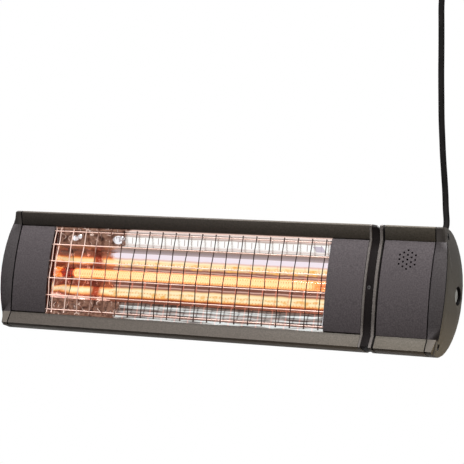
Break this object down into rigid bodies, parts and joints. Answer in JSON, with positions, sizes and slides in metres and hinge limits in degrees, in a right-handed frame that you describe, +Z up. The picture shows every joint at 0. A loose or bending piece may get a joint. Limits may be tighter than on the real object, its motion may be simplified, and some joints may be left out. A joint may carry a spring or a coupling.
{
  "type": "infrared bar heater",
  "caption": "Slim wall-mounted infrared bar heater with a guarded lamp window, an end control module, a tilting bracket and a mains lead.",
  "frame": {"origin": "middle of the wall plate's back face, on the wall", "axes": "+X to the right along the heater, +Y into the wall, +Z up; the window faces -Y"},
  "size_m": [0.5656, 0.1216, 0.4922],
  "materials": {
    "housing_coat": "anthracite powder coat on extruded aluminium",
    "plate_coat": "anthracite powder coat on sheet aluminium",
    "cap_coat": "anthracite powder coat on cast aluminium",
    "rim_coat": "anthracite powder coat with bright cut edges",
    "black_plastic": "moulded black",
    "gasket_rubber": "matt black",
    "reflector_sheet": "mirror polished",
    "guard_wire": "plain drawn wire, welded",
    "quartz": "clear quartz",
    "filament_wire": "glowing tungsten",
    "ceramic": "unglazed white ceramic",
    "holder_steel": "plain pressed sheet",
    "screw_steel": "zinc plated",
    "bracket_coat": "black powder coat on sheet steel",
    "button_metal": "satin, turned",
    "sounder_plastic": "moulded black",
    "board_laminate": "green solder mask",
    "relay_plastic": "moulded blue",
    "terminal_plastic": "moulded green",
    "lead_sleeve": "woven glass sleeve",
    "cord_rubber": "matt black",
    "pin_metal": "nickel plated"
  },
  "bodies": {
    "wall_mount": {"wall_plate": "bracket_coat", "pivot_bolt_left": "screw_steel", "pivot_bolt_right": "screw_steel", "pivot_washer_left_outer": "screw_steel", "pivot_washer_left_inner": "screw_steel", "pivot_washer_right_inner": "screw_steel", "pivot_washer_right_outer": "screw_steel", "pivot_nut_left": "screw_steel", "pivot_nut_right": "screw_steel", "plug_body": "black_plastic", "plug_pin_left": "pin_metal", "plug_pin_right": "pin_metal"},
    "heater": {"main_housing": "housing_coat", "module_housing": "housing_coat", "left_front_plate": "plate_coat", "right_front_plate": "plate_coat", "module_front_plate": "plate_coat", "left_end_cap": "cap_coat", "right_end_cap": "cap_coat", "main_right_cap": "rim_coat", "module_left_cap": "rim_coat", "joint_spacer": "black_plastic", "module_seal": "gasket_rubber", "reflector_trough": "reflector_sheet", "reflector_left_end": "reflector_sheet", "reflector_right_end": "reflector_sheet", "reflector_rivet_outer": "reflector_sheet", "reflector_rivet_inner": "reflector_sheet", "lamp_tube": "quartz", "lamp_filament": "filament_wire", "lamp_left_base": "ceramic", "lamp_right_base": "ceramic", "lamp_left_holder": "holder_steel", "lamp_right_holder": "holder_steel", "wire_guard": "guard_wire", "sounder": "sounder_plastic", "control_board": "board_laminate", "relay": "relay_plastic", "terminal_block": "terminal_plastic", "lamp_lead_left": "lead_sleeve", "lamp_lead_right": "lead_sleeve", "switch_body": "black_plastic", "cable_gland": "black_plastic", "mains_cord": "cord_rubber", "heater_bracket": "bracket_coat", "left_cap_screw_top": "screw_steel", "left_cap_screw_bottom": "screw_steel", "right_cap_screw_top": "screw_steel", "right_cap_screw_bottom": "screw_steel", "joint_screw_top": "screw_steel", "joint_screw_bottom": "screw_steel", "spacer_screw": "screw_steel", "slot_nut_left": "screw_steel", "slot_nut_right": "screw_steel", "bracket_screw_left": "screw_steel", "bracket_screw_right": "screw_steel"},
    "button": {"push_button": "button_metal"}
  },
  "joints": [
    {"name": "tilt", "type": "hinge", "parent": "wall_mount", "child": "heater", "pos_m": [0, -0.038, 0], "axis": [1, 0, 0], "range_deg": [-15, 45]},
    {"name": "button_press", "type": "slide", "parent": "heater", "child": "button", "axis": [1, 0, 0], "range_m": [-0.0015, 0], "stiffness_N_per_m": 800}
  ]
}
